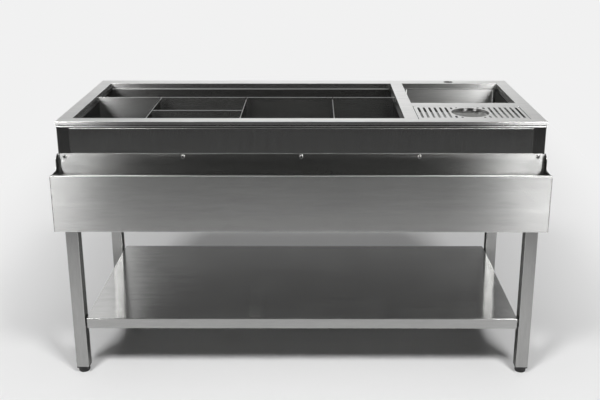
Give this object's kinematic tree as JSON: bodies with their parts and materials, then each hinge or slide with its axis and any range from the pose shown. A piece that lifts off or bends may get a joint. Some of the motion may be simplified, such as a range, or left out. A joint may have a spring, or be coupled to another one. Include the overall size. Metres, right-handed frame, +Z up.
{
  "type": "bar station",
  "caption": "Free-standing stainless bar station: divided ice bath, basin, slotted drip grate, front bottle rail, square tube legs on screw feet and a low shelf.",
  "frame": {"origin": "on the floor, under the middle of the whole footprint, bottle rail included", "axes": "+X to the right seen from the front, +Y from front to back, +Z up"},
  "size_m": [1.5, 0.692, 0.865],
  "materials": {
    "brushed_steel": "fine straight brush grain, satin",
    "bath_steel": "brushed, slightly duller inside",
    "divider_steel": "brushed lengthwise, bright folded edge",
    "grate_steel": "brushed, bright cut edges",
    "fastener_steel": "bright machined",
    "black_plastic": "moulded, fine texture",
    "waste_plastic": "moulded, smooth",
    "rubber": "plain"
  },
  "bodies": {
    "table": {"worktop_front": "brushed_steel", "worktop_rear": "brushed_steel", "worktop_left": "brushed_steel", "worktop_right": "brushed_steel", "worktop_bridge": "brushed_steel", "worktop_cross_strip": "brushed_steel", "tap_plate": "brushed_steel", "top_frame": "brushed_steel", "front_apron": "brushed_steel", "rear_apron": "brushed_steel", "left_apron": "brushed_steel", "right_apron": "brushed_steel", "rail_trough": "brushed_steel", "rail_left_end": "brushed_steel", "rail_right_end": "brushed_steel", "shelf": "brushed_steel", "shelf_stiffeners": "brushed_steel", "front_left_leg": "brushed_steel", "front_right_leg": "brushed_steel", "rear_left_leg": "brushed_steel", "rear_right_leg": "brushed_steel", "ice_bath": "bath_steel", "bath_left_end": "bath_steel", "bath_right_end": "bath_steel", "basin": "bath_steel", "drip_tray": "bath_steel", "rail_screws": "fastener_steel", "rail_nuts": "fastener_steel", "shelf_bolts": "fastener_steel", "shelf_nuts": "fastener_steel", "shelf_spacers": "fastener_steel", "bath_waste_screw": "fastener_steel", "basin_waste_screw": "fastener_steel", "tray_waste_screw": "fastener_steel", "bath_waste_flange": "fastener_steel", "bath_waste_gasket": "rubber", "bath_waste_body": "waste_plastic", "basin_waste_flange": "fastener_steel", "basin_waste_gasket": "rubber", "basin_waste_body": "waste_plastic", "tray_waste_flange": "fastener_steel", "tray_waste_gasket": "rubber", "tray_waste_body": "waste_plastic", "leg_inserts": "black_plastic"},
    "long_divider": {"long_divider": "divider_steel"},
    "cell_insert": {"left_cross_divider": "divider_steel", "middle_cross_divider": "divider_steel", "short_divider": "divider_steel"},
    "right_cross_divider": {"right_cross_divider": "divider_steel"},
    "drip_grate": {"drip_grate": "grate_steel"},
    "front_left_pad": {"front_left_pad": "black_plastic"},
    "front_left_stem": {"front_left_stem": "fastener_steel"},
    "front_right_pad": {"front_right_pad": "black_plastic"},
    "front_right_stem": {"front_right_stem": "fastener_steel"},
    "rear_left_pad": {"rear_left_pad": "black_plastic"},
    "rear_left_stem": {"rear_left_stem": "fastener_steel"},
    "rear_right_pad": {"rear_right_pad": "black_plastic"},
    "rear_right_stem": {"rear_right_stem": "fastener_steel"}
  },
  "joints": [
    {"name": "long_divider_lift", "type": "slide", "parent": "table", "child": "long_divider", "axis": [0, 0, 1], "range_m": [0, 0.26]},
    {"name": "cell_insert_lift", "type": "slide", "parent": "long_divider", "child": "cell_insert", "axis": [0, 0, 1], "range_m": [0, 0.26]},
    {"name": "right_cross_divider_lift", "type": "slide", "parent": "long_divider", "child": "right_cross_divider", "axis": [0, 0, 1], "range_m": [0, 0.26]},
    {"name": "drip_grate_lift", "type": "slide", "parent": "table", "child": "drip_grate", "axis": [0, 0, 1], "range_m": [0, 0.12]},
    {"name": "front_left_foot_travel", "type": "slide", "parent": "table", "child": "front_left_pad", "axis": [0, 0, 1], "range_m": [-0.02, 0]},
    {"name": "front_left_stem_turn", "type": "hinge", "parent": "front_left_pad", "child": "front_left_stem", "pos_m": [-0.728, -0.232, 0.03], "axis": [0, 0, 1], "range_deg": [-4830, 30]},
    {"name": "front_right_foot_travel", "type": "slide", "parent": "table", "child": "front_right_pad", "axis": [0, 0, 1], "range_m": [-0.02, 0]},
    {"name": "front_right_stem_turn", "type": "hinge", "parent": "front_right_pad", "child": "front_right_stem", "pos_m": [0.728, -0.232, 0.03], "axis": [0, 0, 1], "range_deg": [-4830, 30]},
    {"name": "rear_left_foot_travel", "type": "slide", "parent": "table", "child": "rear_left_pad", "axis": [0, 0, 1], "range_m": [-0.02, 0]},
    {"name": "rear_left_stem_turn", "type": "hinge", "parent": "rear_left_pad", "child": "rear_left_stem", "pos_m": [-0.728, 0.324, 0.03], "axis": [0, 0, 1], "range_deg": [-4830, 30]},
    {"name": "rear_right_foot_travel", "type": "slide", "parent": "table", "child": "rear_right_pad", "axis": [0, 0, 1], "range_m": [-0.02, 0]},
    {"name": "rear_right_stem_turn", "type": "hinge", "parent": "rear_right_pad", "child": "rear_right_stem", "pos_m": [0.728, 0.324, 0.03], "axis": [0, 0, 1], "range_deg": [-4830, 30]}
  ],
  "couplings": [
    {"joint": "front_left_stem_turn", "follows": "front_left_foot_travel", "rad_per_m": 4188.8},
    {"joint": "front_right_stem_turn", "follows": "front_right_foot_travel", "rad_per_m": 4188.8},
    {"joint": "rear_left_stem_turn", "follows": "rear_left_foot_travel", "rad_per_m": 4188.8},
    {"joint": "rear_right_stem_turn", "follows": "rear_right_foot_travel", "rad_per_m": 4188.8}
  ]
}
